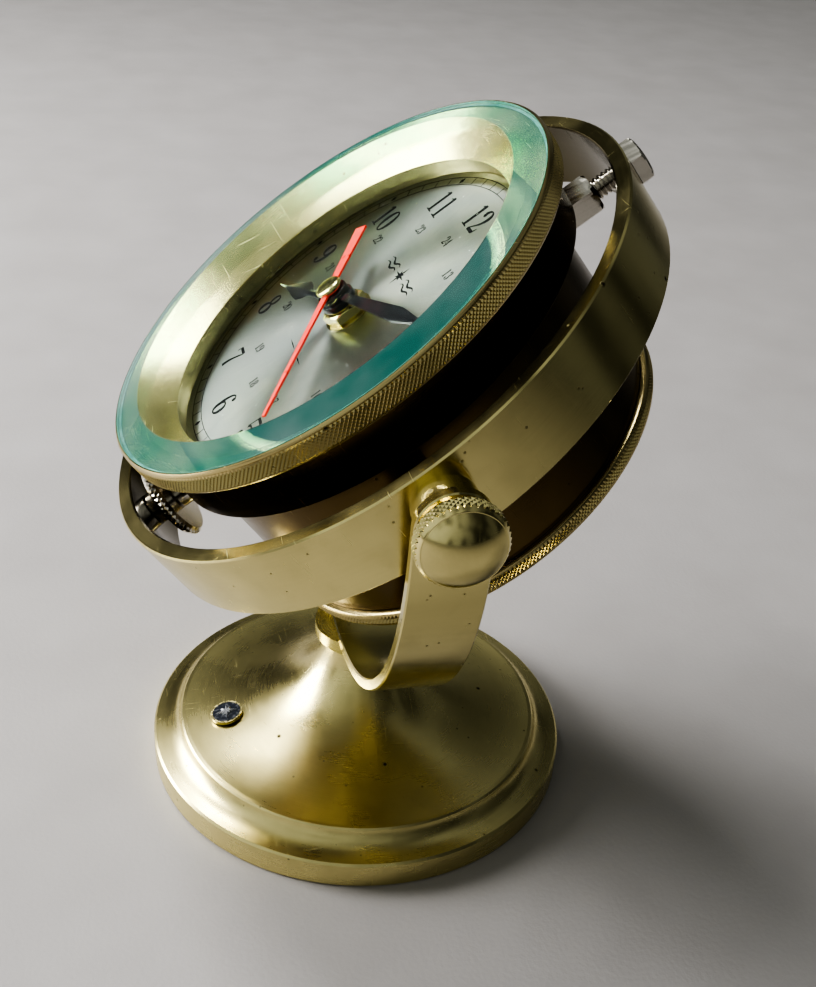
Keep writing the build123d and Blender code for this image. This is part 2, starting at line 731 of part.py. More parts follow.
minute_plane = hand_frame(minute_angle, minute_level)
with BuildPart() as minute_hand:
    with BuildSketch(minute_plane):
        Circle(3.2)
        with BuildLine():
            Polyline((-0.7, 0), (-1.9, 27.0), (0, 38.5), (1.9, 27.0), (0.7, 0), close=True)
        make_face()
    extrude(amount=0.6)
    post(dial_frame, 12, 14, second_arbor_radius + running, mode=Mode.SUBTRACT)
save(minute_hand.part, "minute_hand")

second_plane = hand_frame(second_angle, second_level)
with BuildPart() as second_hand:
    with BuildSketch(second_plane):
        Circle(2.4)
        with BuildLine():
            Polyline(
                (-1.4, -20.0), (-0.8, 0), (-0.35, 37.0), (0.35, 37.0), (0.8, 0), (1.4, -20.0),
                close=True,
            )
        make_face()
    extrude(amount=0.5)
save(second_hand.part, "second_hand")

cap_bottom = second_level + 0.5
with BuildPart() as hand_cap:
    turn(dial_frame, [
        (0, cap_bottom), (3.0, cap_bottom), (3.0, cap_bottom + 0.5),
        (2.4, cap_bottom + 1.0), (0, cap_bottom + 1.2),
    ])
save(hand_cap.part, "hand_cap")
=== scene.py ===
"""A ship's desk clock in a gimbal on a turned brass foot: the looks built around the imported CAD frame."""

import json
import math

import bpy
from mathutils import Matrix, Vector


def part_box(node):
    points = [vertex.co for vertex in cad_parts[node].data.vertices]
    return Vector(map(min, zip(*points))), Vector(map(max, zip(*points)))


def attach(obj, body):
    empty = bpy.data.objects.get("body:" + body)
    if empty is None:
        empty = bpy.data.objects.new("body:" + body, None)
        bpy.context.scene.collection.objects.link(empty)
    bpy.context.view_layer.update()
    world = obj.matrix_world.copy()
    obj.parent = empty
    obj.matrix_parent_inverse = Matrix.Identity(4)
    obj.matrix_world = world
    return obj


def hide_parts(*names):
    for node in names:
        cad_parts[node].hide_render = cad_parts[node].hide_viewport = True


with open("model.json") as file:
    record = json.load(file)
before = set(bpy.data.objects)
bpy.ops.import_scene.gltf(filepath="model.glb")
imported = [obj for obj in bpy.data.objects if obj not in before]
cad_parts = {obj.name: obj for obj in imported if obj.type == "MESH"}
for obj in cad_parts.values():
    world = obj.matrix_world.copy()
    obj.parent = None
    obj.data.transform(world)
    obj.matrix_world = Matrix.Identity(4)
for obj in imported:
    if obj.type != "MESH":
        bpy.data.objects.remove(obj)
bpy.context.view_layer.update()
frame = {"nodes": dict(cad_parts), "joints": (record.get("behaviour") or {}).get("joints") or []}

MM = 0.001
joints = {joint["name"]: joint for joint in frame["joints"]}

# ---- the clock's own directions, read from the joints ----
pivot = Vector(joints["ring_tilt"]["pos_m"])
across = Vector(joints["ring_tilt"]["axis"])
dial_up = Vector(joints["drum_turn"]["axis"])
dial_normal = -Vector(joints["second_hand_turn"]["axis"])


def axes(origin, z_axis, x_axis):
    """A placement matrix whose z and x columns are the given directions."""
    z_axis, x_axis = z_axis.normalized(), x_axis.normalized()
    y_axis = z_axis.cross(x_axis)
    columns = Matrix((x_axis, y_axis, z_axis)).transposed()
    return Matrix.Translation(origin) @ columns.to_4x4()


dial = axes(pivot, dial_normal, across)
upper = axes(pivot, dial_up, across)
lower = axes(pivot, -dial_up, across)
right = axes(pivot, across, Vector((0, 1, 0)))
left = axes(pivot, -across, Vector((0, 1, 0)))
upright = Matrix.Identity(4)
star_low, star_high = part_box("badge_star")
BADGE_SLOPE = math.radians(11)
badge_normal = Vector((0, -math.sin(BADGE_SLOPE), math.cos(BADGE_SLOPE)))
badge = axes((Vector(star_low) + Vector(star_high)) / 2, badge_normal, across)

# ---- sizes in millimetres, heights along the dial's axis from the pivot ----
DIAL_FACE, DIAL_BACK = 7.8, 7.0
PRINT = 0.035
NUMERAL_RADIUS, NUMERAL_HEIGHT = 33.4, 6.7
SMALL_RADIUS, SMALL_HEIGHT = 25.4, 2.4
TRACK_INNER, TRACK_OUTER = 39.6, 41.9
GLASS_RADIUS, BEVEL_INNER, GLASS_BACK = 54.0, 47.2, 18.5
RING_INNER = 61.5
THREAD_PITCH = 1.06


# ---- node materials ----
class Look:
    """One procedural material around a Principled shader; node outputs pass as plain values."""

    def __init__(self, name, colour, roughness, metallic=0.0, place=upright):
        self.material = bpy.data.materials.new(name)
        self.material.use_nodes = True
        self.tree = self.material.node_tree
        self.shader = self.tree.nodes["Principled BSDF"]
        self.set("Base Color", (*colour, 1))
        self.set("Roughness", roughness)
        self.set("Metallic", metallic)
        self.normal = None
        object_point = self.tree.nodes.new("ShaderNodeTexCoord").outputs["Object"]
        back = place.inverted()
        mapping = self.tree.nodes.new("ShaderNodeMapping")
        mapping.inputs["Location"].default_value = back.translation
        mapping.inputs["Rotation"].default_value = back.to_euler()
        self.tree.links.new(object_point, mapping.inputs["Vector"])
        self.point = mapping.outputs["Vector"]

    def set(self, socket, value):
        """Give the shader's socket a number or colour, or join a node's output to it."""
        self.feed(self.shader.inputs[socket], value)

    def feed(self, socket, value):
        """Join a node's output to a socket, or set the socket's own value."""
        if isinstance(value, bpy.types.NodeSocket):
            self.tree.links.new(value, socket)
        else:
            socket.default_value = value

    def calc(self, operation, a, b=0.0, clamp=False):
        """One arithmetic step on two values."""
        node = self.tree.nodes.new("ShaderNodeMath")
        node.operation = operation
        node.use_clamp = clamp
        self.feed(node.inputs[0], a)
        self.feed(node.inputs[1], b)
        return node.outputs[0]

    def levels(self, value, low, high, out_low=0.0, out_high=1.0):
        """Stretch a value from low..high to another range, held at its ends."""
        node = self.tree.nodes.new("ShaderNodeMapRange")
        for socket, number in zip(node.inputs, (value, low, high, out_low, out_high)):
            self.feed(socket, number)
        return node.outputs[0]

    def mix(self, share, a, b):
        """Blend two colours."""
        node = self.tree.nodes.new("ShaderNodeMix")
        node.data_type = "RGBA"
        self.feed(node.inputs["Factor"], share)
        for name, colour in (("A", a), ("B", b)):
            socket = [s for s in node.inputs if s.name == name and s.type == "RGBA"][0]
            self.feed(socket, (*colour, 1) if isinstance(colour, tuple) else colour)
        return [s for s in node.outputs if s.type == "RGBA"][0]

    def stretch(self, point, scale, turn=(0, 0, 0)):
        """Scale and turn coordinates, to draw a pattern out along one direction."""
        node = self.tree.nodes.new("ShaderNodeMapping")
        node.inputs["Scale"].default_value = scale
        node.inputs["Rotation"].default_value = turn
        self.feed(node.inputs["Vector"], point)
        return node.outputs["Vector"]

    def noise(self, scale, detail=3.0, point=None):
        """Cloudy noise from 0 to 1."""
        node = self.tree.nodes.new("ShaderNodeTexNoise")
        self.feed(node.inputs["Vector"], point or self.point)
        node.inputs["Scale"].default_value = scale
        node.inputs["Detail"].default_value = detail
        return node.outputs["Fac"]

    def spots(self, scale, size, share):
        """Small round spots: one in some of the cells of a scattered grid."""
        node = self.tree.nodes.new("ShaderNodeTexVoronoi")
        self.feed(node.inputs["Vector"], self.point)
        node.inputs["Scale"].default_value = scale
        near = self.levels(node.outputs["Distance"], size, size * 0.4)
        split = self.tree.nodes.new("ShaderNodeSeparateColor")
        self.feed(split.inputs[0], node.outputs["Color"])
        chosen = self.calc("LESS_THAN", split.outputs[0], share)
        return self.calc("MULTIPLY", near, chosen)

    def cylinder(self):
        """The point's x and y, its distance from the piece's z axis, and its height along it."""
        split = self.tree.nodes.new("ShaderNodeSeparateXYZ")
        self.feed(split.inputs[0], self.point)
        x, y, height = split.outputs
        squares = self.calc("ADD", self.calc("MULTIPLY", x, x), self.calc("MULTIPLY", y, y))
        return x, y, self.calc("MAXIMUM", self.calc("SQRT", squares), 0.1 * MM), height

    def turned_point(self, fine, round_about, with_height=True):
        """Coordinates for marks left by turning: fine across the cut, long around the axis."""
        x, y, radius, height = self.cylinder()
        across_cut = self.calc("ADD", radius, height) if with_height else radius
        join = self.tree.nodes.new("ShaderNodeCombineXYZ")
        self.feed(join.inputs[0], self.calc("MULTIPLY", self.calc("DIVIDE", x, radius), round_about))
        self.feed(join.inputs[1], self.calc("MULTIPLY", self.calc("DIVIDE", y, radius), round_about))
        self.feed(join.inputs[2], self.calc("MULTIPLY", across_cut, fine))
        return join.outputs[0]

    def brushed(self, strength, turn=0.0):
        """Stretch highlights along or across circles about the piece's z axis."""
        self.shader.inputs["Anisotropic"].default_value = strength
        self.shader.inputs["Anisotropic Rotation"].default_value = turn
        tangent = self.tree.nodes.new("ShaderNodeTangent")
        tangent.direction_type = "RADIAL"
        tangent.axis = "Z"
        self.set("Tangent", tangent.outputs[0])

    def bump(self, height, depth):
        """Raise the surface by a height map, on top of any earlier one; depth in metres."""
        node = self.tree.nodes.new("ShaderNodeBump")
        node.inputs["Distance"].default_value = depth
        self.feed(node.inputs["Height"], height)
        if self.normal is not None:
            self.feed(node.inputs["Normal"], self.normal)
        self.normal = node.outputs["Normal"]
        self.set("Normal", self.normal)


BRASS = (0.74, 0.65, 0.31)
BRASS_TARNISH = (0.36, 0.32, 0.15)
# the near-black colour of real pits, also used for the painted shade inside the gimbal ring
PIT_AND_SHADE = (0.045, 0.034, 0.016)


def brass(name, place=upright, colour=BRASS, tarnish=BRASS_TARNISH, roughness=0.2, turned=True,
          tarnish_share=0.45, pits=0.22, grain=1.0, anisotropy=0.0, painted_shade_within=None):
    """Brass with turning or drawing marks, tarnish clouds, dark pits and fine scratches.

    Inside a radius given in millimetres by the last argument, the colour is painted nearly black: painted
    shade, as on the inner face of the gimbal ring.
    """
    look = Look(name, colour, roughness, metallic=1.0, place=place)
    marks_at = look.turned_point(5200, 5.0) if turned else look.stretch(look.point, (1500, 60, 60))
    marks = look.noise(1.0, 4.0, marks_at)
    clouds = look.noise(48, 6.0)
    fog = look.noise(170, 4.0)
    stain = look.calc("MULTIPLY", look.levels(clouds, 0.5, 0.74), tarnish_share)
    stain = look.calc("ADD", stain, look.levels(fog, 0.58, 0.8, 0.0, 0.18))
    shade = look.mix(stain, colour, tarnish)
    shade = look.mix(look.levels(marks, 0.3, 0.75, 0.0, 0.10), shade, tarnish)
    # painted shade: inside the given radius the colour is mixed 92% towards the near-black pit colour
    if painted_shade_within:
        radius = look.cylinder()[2]
        shade_inside = look.levels(radius, (painted_shade_within + 0.3) * MM, painted_shade_within * MM)
        shade = look.mix(look.calc("MULTIPLY", shade_inside, 0.92), shade, PIT_AND_SHADE)
    pit = look.spots(150, 0.10, pits)
    fleck = look.spots(420, 0.16, pits * 0.6)
    dark = look.calc("MAXIMUM", pit, look.calc("MULTIPLY", fleck, 0.6))
    look.set("Base Color", look.mix(dark, shade, PIT_AND_SHADE))
    lines = look.noise(1.0, 2.0, look.stretch(look.point, (90, 2600, 90), (0.5, 0.3, 0.9)))
    crossing = look.noise(1.0, 2.0, look.stretch(look.point, (2400, 70, 110), (0.2, 0.7, 0.4)))
    scratch = look.calc("MAXIMUM", look.levels(lines, 0.70, 0.76), look.levels(crossing, 0.71, 0.77))
    rough = look.calc("ADD", look.levels(marks, 0.25, 0.8, roughness * 0.9, roughness * 1.15),
                      look.levels(clouds, 0.45, 0.7, 0.0, 0.10))
    rough = look.calc("ADD", rough, look.calc("MULTIPLY", dark, 0.35))
    look.set("Roughness", look.calc("ADD", rough, look.calc("MULTIPLY", scratch, 0.12), clamp=True))
    look.bump(marks, 0.004 * MM * grain)
    look.bump(look.calc("SUBTRACT", 1.0, look.calc("MAXIMUM", dark, look.calc("MULTIPLY", scratch, 0.3))),
              0.02 * MM)
    if anisotropy:
        look.brushed(anisotropy, turn=0.25)
    return look.material


def plain_metal(name, colour, roughness, place=upright, smear=0.35):
    """Plated or plain steel: light smears, fine scratches and a little grime."""
    look = Look(name, colour, roughness, metallic=1.0, place=place)
    smears = look.noise(260, 5.0)
    fine = look.noise(1.0, 3.0, look.turned_point(1800, 3.0))
    grime = look.levels(smears, 0.55, 0.8, 0.0, smear)
    look.set("Base Color", look.mix(grime, colour, tuple(c * 0.35 for c in colour)))
    look.set("Roughness", look.levels(fine, 0.3, 0.75, roughness * 0.75, roughness * 1.5))
    look.bump(fine, 0.004 * MM)
    return look.material


def coating(name, colour, roughness, other=None, depth=0.01, scale=700, coat=0.0, gloss=0.5):
    """Paint, plastic, rubber or felt: a mottled colour, uneven gloss and a fine texture."""
    look = Look(name, colour, roughness)
    mottle = look.noise(scale * 0.3, 5.0)
    grain = look.noise(scale * 4, 3.0)
    other = other or tuple(c * 0.7 for c in colour)
    look.set("Base Color", look.mix(look.levels(mottle, 0.35, 0.7), colour, other))
    look.set("Roughness", look.levels(mottle, 0.3, 0.7, roughness * 0.8, min(1.0, roughness * 1.25)))
    look.shader.inputs["Specular IOR Level"].default_value = gloss
    look.shader.inputs["Coat Weight"].default_value = coat
    look.shader.inputs["Coat Roughness"].default_value = 0.08
    look.bump(grain, depth * MM)
    return look.material


def sunburst():
    """Satin silver dial brushed outward from its centre, with dust on it."""
    silver, shadow = (0.25, 0.255, 0.24), (0.21, 0.215, 0.20)
    yellowed, dust_colour = (0.58, 0.56, 0.47), (0.70, 0.70, 0.68)
    look = Look("dial_sunburst", silver, 0.3, metallic=1.0)
    rays = look.noise(1.0, 4.0, look.turned_point(fine=60.0, round_about=170.0, with_height=False))
    blush = look.noise(60, 4.0)
    shade = look.mix(look.levels(rays, 0.3, 0.72), silver, shadow)
    shade = look.mix(look.levels(blush, 0.5, 0.8, 0.0, 0.35), shade, yellowed)
    dust = look.spots(520, 0.13, 0.10)
    look.set("Base Color", look.mix(dust, shade, dust_colour))
    look.set("Metallic", look.levels(dust, 0.0, 1.0, 1.0, 0.0))
    look.set("Roughness", look.calc("ADD", look.levels(rays, 0.25, 0.75, 0.30, 0.35),
                                    look.calc("MULTIPLY", dust, 0.4)))
    look.brushed(0.85)
    return look.material


def thick_glass():
    """Greenish float glass: clear through the face, teal in its ground bevel and outer edge."""
    look = Look("crystal_glass", (1.0, 1.0, 1.0), 0.0, place=dial)
    look.shader.inputs["IOR"].default_value = 1.5
    clear, deep_teal, pale_teal = (0.98, 1.0, 0.99), (0.06, 0.34, 0.28), (0.22, 0.55, 0.47)
    radius, height = look.cylinder()[2:]
    front = look.levels(height, (GLASS_BACK + 0.1) * MM, (GLASS_BACK + 0.8) * MM)
    outer = look.levels(radius, BEVEL_INNER * MM, (BEVEL_INNER + 0.15) * MM)
    bevel = look.calc("MULTIPLY", front, outer)
    rim = look.levels(radius, (GLASS_RADIUS - 0.3) * MM, (GLASS_RADIUS - 0.05) * MM)
    cloud = look.noise(1.0, 3.0, look.stretch(look.point, (55, 55, 400)))
    streaks = look.levels(cloud, 0.35, 0.7, 0.75, 1.0)
    tint = look.mix(look.calc("MULTIPLY", bevel, streaks), clear, deep_teal)
    look.set("Base Color", look.mix(rim, tint, pale_teal))
    solid = look.calc("MAXIMUM", look.calc("MULTIPLY", bevel, 0.24), look.calc("MULTIPLY", rim, 0.45))
    look.set("Transmission Weight", look.calc("SUBTRACT", 1.0, solid))
    dust = look.spots(330, 0.10, 0.12)
    look.set("Roughness", look.calc("MULTIPLY", dust, 0.25))
    absorb = look.tree.nodes.new("ShaderNodeVolumeAbsorption")
    absorb.inputs["Color"].default_value = (0.30, 0.86, 0.76, 1)
    absorb.inputs["Density"].default_value = 16.0
    output = look.tree.nodes["Material Output"]
    look.tree.links.new(absorb.outputs[0], output.inputs["Volume"])
    return look.material


def badge_face():
    """The badge's disc: dark enamel inside a narrow brass rim."""
    blue_black, scuffed = (0.02, 0.024, 0.034), (0.16, 0.16, 0.17)
    look = Look("badge_enamel", blue_black, 0.3, place=badge)
    radius = look.cylinder()[2]
    rim = look.levels(radius, 3.45 * MM, 3.5 * MM)
    worn = look.levels(look.noise(900, 5.0), 0.5, 0.7, 0.0, 0.5)
    enamel = look.mix(worn, blue_black, scuffed)
    look.set("Base Color", look.mix(rim, enamel, BRASS))
    look.set("Metallic", look.levels(rim, 0.0, 1.0, 0.25, 1.0))
    look.set("Roughness", look.levels(worn, 0.0, 0.5, 0.22, 0.5))
    look.bump(look.noise(2200, 3.0), 0.02 * MM)
    return look.material


# ---- mesh helpers ----
def make_object(name, vertices, faces, material, place, smooth_angle=35.0):
    """A mesh in its own frame, in millimetres there, with faces smoothed below an angle."""
    mesh = bpy.data.meshes.new(name)
    mesh.from_pydata([tuple(c * MM for c in vertex) for vertex in vertices], [], faces)
    mesh.validate()
    mesh.update()
    mesh.shade_smooth()
    mesh.set_sharp_from_angle(angle=math.radians(smooth_angle))
    mesh.materials.append(material)
    piece = bpy.data.objects.new(name, mesh)
    bpy.context.scene.collection.objects.link(piece)
    piece.matrix_world = place
    return piece


def rounded(outline, amount, steps=4):
    """Cut every corner of a closed outline and round it with a small arc."""
    result = []
    for index, corner in enumerate(outline):
        before, after = Vector(outline[index - 1]), Vector(outline[(index + 1) % len(outline)])
        here = Vector(corner)
        to_before, to_after = before - here, after - here
        cut = min(amount, to_before.length * 0.45, to_after.length * 0.45)
        start = here + to_before.normalized() * cut
        end = here + to_after.normalized() * cut
        for step in range(steps + 1):
            t = step / steps
            point = start * (1 - t) ** 2 + here * 2 * t * (1 - t) + end * t * t
            result.append((point.x, point.y))
    return result


def rings_to_faces(rows, around, cap_start, cap_end, closed_profile=False, knurl_rows=()):
    """Faces between successive rings of vertices; knurl rows are split along their valleys."""
    faces = []
    count = rows if closed_profile else rows - 1
    for row in range(count):
        upper_row = (row + 1) % rows
        for i in range(around):
            j = (i + 1) % around
            a, b = row * around + i, row * around + j
            c, d = upper_row * around + j, upper_row * around + i
            if row in knurl_rows:
                if (i + row - knurl_rows[0]) % 2:
                    faces += [(a, b, c), (a, c, d)]
                else:
                    faces += [(a, b, d), (b, c, d)]
            else:
                faces.append((a, b, c, d))
    if cap_start:
        faces.append(tuple(reversed(range(around))))
    if cap_end:
        faces.append(tuple(range((rows - 1) * around, rows * around)))
    return faces


def turned_piece(name, outline, material, place, around=192, smooth_angle=35.0):
    """A piece turned from a (radius, height) outline: a closed ring, or a disc from axis to axis."""
    on_axis = outline[0][0] == 0 and outline[-1][0] == 0
    profile = [(max(radius, 0.02), height) for radius, height in outline]
    vertices = [
        (radius * math.cos(2 * math.pi * i / around), radius * math.sin(2 * math.pi * i / around), height)
        for radius, height in profile
        for i in range(around)
    ]
    faces = rings_to_faces(len(profile), around, on_axis, on_axis, closed_profile=not on_axis)
    return make_object(name, vertices, faces, material, place, smooth_angle)


def knurled_piece(name, before, band, after, material, place, teeth, depth, smooth_angle=32.0):
    """A turned piece with a diamond-knurled band (radius, low, high) between two open profiles."""
    around = 2 * teeth
    radius, low, high = band
    pitch = 2 * math.pi * radius / teeth
    knurl_steps = max(2, round(2 * (high - low) / pitch))
    profile = list(before) + [(radius - depth, low)]
    knurl_first = len(profile) - 1
    rows = [[(r, h)] * 2 for r, h in profile]
    for step in range(1, knurl_steps):
        height = low + (high - low) * step / knurl_steps
        pair = [(radius, height), (radius - depth, height)]
        rows.append(pair if step % 2 else pair[::-1])
    rows += [[(r, h)] * 2 for r, h in [(radius - depth, high)] + list(after)]
    on_axis = before[0][0] == 0
    vertices = []
    for row in rows:
        for i in range(around):
            r, h = row[i % 2]
            angle = 2 * math.pi * i / around
            vertices.append((max(r, 0.02) * math.cos(angle), max(r, 0.02) * math.sin(angle), h))
    knurl_rows = list(range(knurl_first, knurl_first + knurl_steps))
    faces = rings_to_faces(len(rows), around, on_axis, on_axis, closed_profile=not on_axis,
                           knurl_rows=knurl_rows)
    return make_object(name, vertices, faces, material, place, smooth_angle)


def six_sided(name, across_flats, low, high, bore, material, place, chamfer_low=False, crown=0.0):
    """A hexagonal nut or bolt head, its corners turned off at the top, and at the bottom if asked."""
    per_side, rows = 16, 14
    around = 6 * per_side
    flat = across_flats / 2
    rim = flat * 0.97
    vertices = []
    heights = [low + (high - low) * step / rows for step in range(rows + 1)]
    profile = []
    for height in heights:
        limit = rim + (high - height) * 1.7
        if chamfer_low:
            limit = min(limit, rim + (height - low) * 1.7)
        profile.append((limit, height))
    for limit, height in profile:
        for i in range(around):
            angle = 2 * math.pi * i / around
            within = (angle + math.pi / 6) % (math.pi / 3) - math.pi / 6
            radius = min(flat / math.cos(within), limit)
            vertices.append((radius * math.cos(angle), radius * math.sin(angle), height))
    top = [(rim * 0.93, high + crown * 0.4), (rim * 0.6, high + crown), (max(bore, 0.02), high + crown)]
    bottom = [(max(bore, 0.02), low)]
    for radius, height in top + bottom:
        for i in range(around):
            angle = 2 * math.pi * i / around
            vertices.append((radius * math.cos(angle), radius * math.sin(angle), height))
    rows_total = len(profile) + len(top) + len(bottom)
    faces = rings_to_faces(rows_total, around, False, False, closed_profile=True)
    return make_object(name, vertices, faces, material, place, 25.0)


def threaded_bar(name, radius, depth, pitch, low, high, material, place):
    """A screw thread on a round bar: a helical ridge with a flattened crest and root."""
    around, per_pitch = 64, 12
    rows = round((high - low) / pitch * per_pitch)
    vertices = []
    for row in range(rows + 1):
        height = low + (high - low) * row / rows
        fade = min(1.0, (row + 1) / per_pitch * 2, (rows - row + 1) / per_pitch * 2)
        for i in range(around):
            angle = 2 * math.pi * i / around
            phase = (height / pitch - i / around) % 1.0
            ridge = max(0.0, min(1.0, 1.25 - abs(phase - 0.5) * 3.2))
            r = radius - depth + depth * ridge * fade
            vertices.append((r * math.cos(angle), r * math.sin(angle), height))
    faces = rings_to_faces(rows + 1, around, True, True)
    return make_object(name, vertices, faces, material, place, 60.0)


def flat_shapes(name, loops, strips, height, thickness, material, place):
    """Thin printed or applied marks: polygons and ribbons given a little thickness."""
    vertices, faces = [], []
    for loop in loops:
        base = len(vertices)
        count = len(loop)
        vertices += [(x, y, height) for x, y in loop] + [(x, y, height + thickness) for x, y in loop]
        faces.append(tuple(base + i for i in reversed(range(count))))
        faces.append(tuple(base + count + i for i in range(count)))
        for i in range(count):
            j = (i + 1) % count
            faces.append((base + i, base + j, base + count + j, base + count + i))
    for strip in strips:
        base = len(vertices)
        count = len(strip)
        for low_side, high_side in strip:
            vertices += [(*low_side, height), (*high_side, height),
                         (*high_side, height + thickness), (*low_side, height + thickness)]
        closed = strip[0] == strip[-1]
        for i in range(count - 1):
            a, b = base + 4 * i, base + 4 * (i + 1)
            for k in range(4):
                m = (k + 1) % 4
                faces.append((a + k, a + m, b + m, b + k))
        if not closed:
            faces.append(tuple(base + k for k in reversed(range(4))))
            faces.append(tuple(base + 4 * (count - 1) + k for k in range(4)))
    return make_object(name, vertices, faces, material, place, 30.0)


# ---- numerals: pen strokes of (x, y, width) in a box one unit high ----
def bowl(cx, cy, rx, ry, start, end, thin=0.05, thick=0.17, steps=20):
    """An arc of an ellipse drawn with a pen that is broad at the sides and fine at top and bottom."""
    points = []
    for step in range(steps + 1):
        angle = math.radians(start + (end - start) * step / steps)
        width = thin + (thick - thin) * abs(math.cos(angle)) ** 1.6
        points.append((cx + rx * math.cos(angle), cy + ry * math.sin(angle), width))
    return points


def smooth_stroke(points, steps=6):
    """A soft curve through a few pen points."""
    result = []
    last = len(points) - 1
    for index in range(last):
        p0, p1 = points[max(index - 1, 0)], points[index]
        p2, p3 = points[index + 1], points[min(index + 2, last)]
        for step in range(steps):
            t = step / steps
            result.append(tuple(
                b + 0.5 * t * (c - a + t * (2 * a - 5 * b + 4 * c - d + t * (3 * b - a - 3 * c + d)))
                for a, b, c, d in zip(p0, p1, p2, p3)
            ))
    return result + [points[-1]]


def ball(cx, cy, radius=0.085):
    """A round terminal, drawn as a short fat stroke."""
    points = []
    for step in range(9):
        angle = math.pi * step / 8
        points.append((cx + radius * math.cos(angle), cy, 2 * radius * math.sin(angle) + 0.004))
    return points


six = [
    bowl(0.0, 0.28, 0.21, 0.26, 0, 360),
    smooth_stroke([(0.15, 0.90, 0.05), (0.03, 0.96, 0.05), (-0.12, 0.84, 0.10), (-0.20, 0.58, 0.15),
                   (-0.21, 0.3, 0.16)]),
    ball(0.16, 0.86),
]
DIGITS = {
    "0": [bowl(0.0, 0.5, 0.23, 0.47, 0, 360)],
    "1": [[(0, 0.02, 0.15), (0, 0.97, 0.15)], [(0.02, 0.94, 0.06), (-0.17, 0.85, 0.05)],
          [(-0.19, 0.025, 0.05), (0.19, 0.025, 0.05)]],
    "2": [bowl(0.0, 0.72, 0.20, 0.25, 170, -20), ball(-0.17, 0.74),
          smooth_stroke([(0.19, 0.64, 0.16), (0.10, 0.42, 0.10), (-0.10, 0.20, 0.06), (-0.22, 0.05, 0.05)]),
          [(-0.23, 0.07, 0.13), (0.20, 0.07, 0.13)], [(0.20, 0.05, 0.05), (0.25, 0.26, 0.04)]],
    "3": [bowl(0.0, 0.755, 0.17, 0.22, 160, -80), bowl(0.0, 0.28, 0.20, 0.26, 80, -160),
          ball(-0.14, 0.80), ball(-0.17, 0.20)],
    "4": [[(0.10, 0.97, 0.05), (-0.25, 0.30, 0.05)], [(-0.27, 0.29, 0.06), (0.27, 0.29, 0.06)],
          [(0.10, 0.97, 0.14), (0.10, 0.02, 0.14)], [(-0.04, 0.025, 0.05), (0.24, 0.025, 0.05)]],
    "5": [[(-0.17, 0.92, 0.11), (0.20, 0.92, 0.11)], [(-0.17, 0.95, 0.045), (-0.19, 0.52, 0.045)],
          bowl(-0.02, 0.31, 0.22, 0.28, 140, -150), ball(-0.18, 0.20)],
    "6": six,
    "7": [[(-0.23, 0.91, 0.12), (0.23, 0.91, 0.12)], [(-0.22, 0.95, 0.045), (-0.24, 0.74, 0.045)],
          smooth_stroke([(0.22, 0.88, 0.05), (0.06, 0.58, 0.09), (-0.05, 0.28, 0.14), (-0.07, 0.02, 0.17)])],
    "8": [bowl(0.0, 0.745, 0.16, 0.21, 0, 360, 0.05, 0.13), bowl(0.0, 0.27, 0.21, 0.25, 0, 360)],
    "9": [[(-x, 1 - y, w) for x, y, w in stroke] for stroke in six],
}


def ribbon(stroke, at, size):
    """Turn pen points into pairs of edge points."""
    pairs = []
    last = len(stroke) - 1
    for index, (x, y, width) in enumerate(stroke):
        before, after = stroke[max(index - 1, 0)], stroke[min(index + 1, last)]
        closed = stroke[0][:2] == stroke[-1][:2] and last > 3
        if closed and index in (0, last):
            before, after = stroke[-2], stroke[1]
        along = Vector((after[0] - before[0], after[1] - before[1])).normalized()
        side = Vector((-along.y, along.x)) * width / 2
        edges = [(x + s * side.x, y + s * side.y) for s in (1, -1)]
        pairs.append(tuple((at[0] + size * edge_x, at[1] + size * edge_y) for edge_x, edge_y in edges))
    return pairs


def number_strips(text, centre, height):
    """A number set upright with its middle at centre."""
    advance = 0.60
    strips = []
    for place, digit in enumerate(text):
        x = centre[0] + height * advance * (place - (len(text) - 1) / 2)
        for stroke in DIGITS[digit]:
            strips.append(ribbon(stroke, (x, centre[1] - height / 2), height))
    return strips


def clock_point(angle, radius):
    """A point on the dial at a clock angle from 12, in degrees."""
    return radius * math.sin(math.radians(angle)), radius * math.cos(math.radians(angle))


def circle_strip(radius, width, steps=180):
    """A printed circle about the dial's centre."""
    pairs = []
    for step in range(steps + 1):
        angle = 360 * (step % steps) / steps
        pairs.append((clock_point(angle, radius + width / 2), clock_point(angle, radius - width / 2)))
    return pairs


def bar_strip(angle, inner, outer, width):
    """A straight mark pointing out from the dial's centre."""
    ends = []
    for radius in (inner, outer):
        x, y = clock_point(angle, radius)
        sx, sy = clock_point(angle + 90, width / 2)
        ends.append(((x - sx, y - sy), (x + sx, y + sy)))
    return ends


# ---- the materials themselves ----
satin = brass("brass_satin", roughness=0.25, grain=0.3, anisotropy=0.5)
polished_stand = brass("brass_polished_strap", roughness=0.15, turned=False)
polished_ring = brass("brass_polished_ring", place=dial, roughness=0.15, tarnish_share=0.35)
# the gimbal ring's inner face is painted nearly black as shade
gimbal_brass = brass("brass_gimbal_ring", place=dial, roughness=0.14, tarnish_share=0.35,
                     painted_shade_within=RING_INNER + 0.2)
# a darker copy of the brass for the knurled bezels: painted shade for the dark look of the knurling
bezel_brass = brass("brass_knurled_shaded", roughness=0.22, colour=(0.52, 0.43, 0.21), pits=0.1)
knob_brass = brass("brass_knob", roughness=0.13, pits=0.08, grain=0.5)
rehaut_brass = brass("brass_rehaut", roughness=0.20, tarnish_share=0.25, pits=0.08, anisotropy=0.4)
